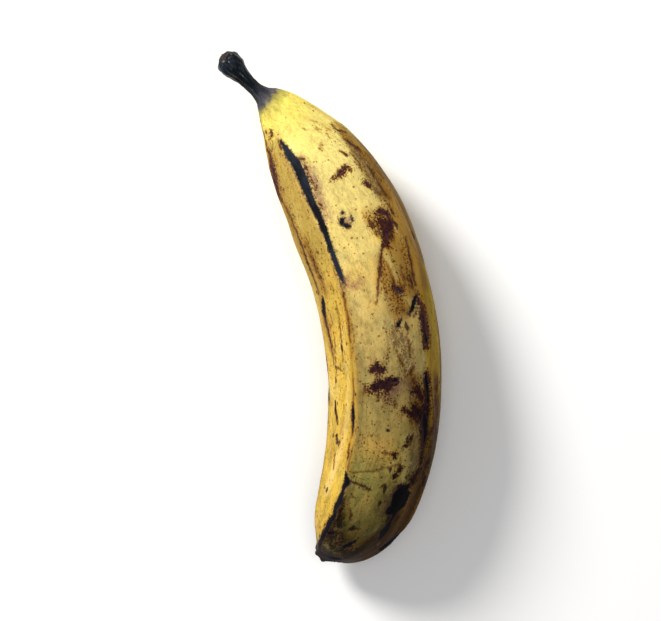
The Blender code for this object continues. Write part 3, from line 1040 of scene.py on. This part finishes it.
# painted shade: the bruises, thin lines and rubbed marks are darker on the lower half
shaded_lower_half = eased(share_here, 0.50, 0.68)
maroon, navy = two_tone(shaded_lower_half, MAROON), two_tone(shaded_lower_half, NAVY)
bruise_skin = blend_in(tree, eased(dust, 0.42, 0.58), maroon, navy)
skin_colour = over(bruise_mask, eased(share_here, 0.50, 0.64, 0.92, 0.995), bruise_skin)

# thin lines: a faint tint with a darker middle, darker the wider the line is
wobble = wavering(cloudy(where, 260.0, 4.0, 0.6), 0.4)
from_line = reckon(tree, "ABSOLUTE", plus(line_aside_here, wobble))
off_line = plus(minus(from_line, line_width_here), wavering(dust, 0.4))
present = eased(line_width_here, 0.0, 0.2)
faint_line = times(eased(off_line, 1.0, -0.1), present)
skin_colour = over(faint_line, 0.65, LINE_TINT, "MULTIPLY")
dark_line = times(eased(off_line, 0.25, -0.25), present)
line_depth = eased(line_width_here, 0.15, 0.65, 0.30, 0.95)
# darker on the lower half: painted shade
skin_colour = over(dark_line, line_depth, two_tone(shaded_lower_half, LINE_BROWN))

# rubbed blue-black, with a brown rim, and a lighter blue-grey painted sheen in places
black_edge = ragged_mark(
    plus(black_here, 0.35), where, scale=380.0, raggedness=0.7, speckle=0.6, softness=0.5
)
skin_colour = over(black_edge, 0.70, BLACK_RIM)
black_mask = ragged_mark(
    black_here, where, scale=260.0, raggedness=0.35, speckle=0.25, softness=0.35
)
# both darker on the lower half: painted shade
deep, black_sheen = two_tone(shaded_lower_half, BLACK_DEEP), two_tone(shaded_lower_half, BLACK_PAINTED_SHEEN)
black_skin = blend_in(tree, eased(cloud, 0.42, 0.62), deep, black_sheen)
skin_colour = blend_in(tree, black_mask, skin_colour, black_skin)

# the dried black stalk, its torn end, and the dark scar of the blossom
stalk_edge = plus(share_here, wavering(grain, 0.003))
stalk_mask = eased(stalk_edge, 0.119, 0.104)
bark = cloudy(lengthwise, 900.0, 4.0)
bark_colour = two_tone(eased(bark, 0.42, 0.58), BARK)
# painted glints: pale blue-grey lines on the stalk, standing in for highlights
bark_colour = blend_in(tree, eased(bark, 0.62, 0.72), bark_colour, colour(*BARK_PAINTED_GLINT))
neck_colour = two_tone(eased(mottle, 0.4, 0.6), NECK_GREY)
bark_colour = blend_in(tree, eased(stalk_edge, 0.074, 0.106), bark_colour, neck_colour)
skin_colour = blend_in(tree, stalk_mask, skin_colour, bark_colour)
torn = cloudy(where, 700.0, 5.0, 0.7)
torn_mask = eased(plus(share_here, wavering(torn, 0.008)), 0.012, 0.004)
torn_colour = two_tone(eased(torn, 0.48, 0.72), TORN_FIBRE)
skin_colour = blend_in(tree, torn_mask, skin_colour, torn_colour)
tip_edge = plus(share_here, wavering(mottle, 0.02))
skin_colour = over(eased(tip_edge, 0.952, 0.982), 0.95, TIP_SCAR)
tree.links.new(skin_colour, shader.inputs["Base Color"])

# satin peel, drier on scuffs and the torn end; the stalk is smoother, with a slight shine
dark = larger(bruise_mask, black_mask)
rough = plus(eased(dark, 0.0, 1.0, 0.55, 0.60), wavering(cloud, 0.05))
rough = plus(rough, times(scuff_mask, 0.12))
rough = minus(rough, times(stalk_mask, eased(share_here, 0.100, 0.080, -0.15, 0.12)))
rough = plus(rough, times(torn_mask, 0.35))
tree.links.new(rough, shader.inputs["Roughness"])
stalk_coat = times(stalk_mask, eased(share_here, 0.105, 0.085, 0.04, 0.28))
tree.links.new(stalk_coat, shader.inputs["Coat Weight"])
shader.inputs["Coat Roughness"].default_value = 0.32
shader.inputs["Specular IOR Level"].default_value = 0.06

# the finest relief: a pattern, then its height in metres
pores = cloudy(where, 1500.0, 2.0)
relief_parts = (
    (mottle, 0.00022),
    (grain, 0.00010),
    (pores, 0.00004),
    (flecks, -0.00006),
    (dark_scratch, -0.00006),
    (pale_scratch, -0.00010),
    (bruise_mask, -0.00008),
    (times(torn, torn_mask), 0.0006),
    (times(bark, eased(share_here, 0.100, 0.080)), 0.0005),
)
height = 0.0
for part, depth in relief_parts:
    height = plus(times(part, depth), height)
bump = place(tree, "Bump", {"Height": height, "Distance": 1.0, "Strength": 0.6})
tree.links.new(bump.outputs[0], shader.inputs["Normal"])
peel_mesh.materials.append(finish)

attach(peel, "root")
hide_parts("plantain")


# ---------------------------------------------------------------------------------------------
# The floor, the light and the camera: a plain white sweep, a soft key from the upper left, and a
# camera straight above, with the stalk at the top.

FLOOR_REACH = 12.0
FLOOR_GAP = 0.0004  # under the fruit's flat spot, so that the two faces don't meet
CAMERA_HEIGHT = 0.88
AIM = (0, 0, 0.02)

ground = bmesh.new()
bmesh.ops.create_grid(ground, x_segments=1, y_segments=1, size=FLOOR_REACH)
bmesh.ops.translate(ground, verts=ground.verts, vec=(0, 0, -FLOOR_GAP))
floor_mesh = bpy.data.meshes.new("floor")
ground.to_mesh(floor_mesh)
ground.free()
floor = bpy.data.objects.new("floor", floor_mesh)
bpy.context.scene.collection.objects.link(floor)
floor_finish = bpy.data.materials.new("floor_white")
floor_finish.use_nodes = True
floor_shader = floor_finish.node_tree.nodes["Principled BSDF"]
floor_shader.inputs["Base Color"].default_value = (0.97, 0.97, 0.97, 1)
floor_shader.inputs["Roughness"].default_value = 0.9
floor_mesh.materials.append(floor_finish)


def soft_light(name, at, size, watts, tint=(1, 1, 1)):
    lamp = bpy.data.lights.new(name, "AREA")
    lamp.shape = "DISK"
    lamp.size = size
    lamp.energy = watts
    lamp.color = tint
    made = bpy.data.objects.new(name, lamp)
    made.location = at
    made.rotation_euler = (Vector(AIM) - Vector(at)).to_track_quat("-Z", "Y").to_euler()
    bpy.context.scene.collection.objects.link(made)


soft_light("key", (-1.74, 1.74, 1.34), size=0.9, watts=104, tint=(1.0, 0.985, 0.95))
soft_light("fill", (0.15, -0.1, 2.0), size=1.6, watts=12)
world = bpy.data.worlds.new("studio")
world.use_nodes = True
sky = world.node_tree
sky.nodes["Background"].inputs["Color"].default_value = (1, 1, 1, 1)
seen = sky.nodes.new("ShaderNodeLightPath").outputs["Is Camera Ray"]
glow = sky.nodes.new("ShaderNodeMapRange")
glow.inputs["To Min"].default_value = 0.25  # as a light
glow.inputs["To Max"].default_value = 0.95  # as the camera sees it
sky.links.new(seen, glow.inputs["Value"])
sky.links.new(glow.outputs[0], sky.nodes["Background"].inputs["Strength"])
bpy.context.scene.world = world
bpy.context.scene.view_settings.view_transform = "Standard"

lens = bpy.data.cameras.new("camera")
lens.lens = 100
lens.sensor_width = 36
camera = bpy.data.objects.new("camera", lens)
camera.location = (0.0, 0.0, CAMERA_HEIGHT)
bpy.context.scene.collection.objects.link(camera)
bpy.context.scene.camera = camera

bpy.context.view_layer.update()
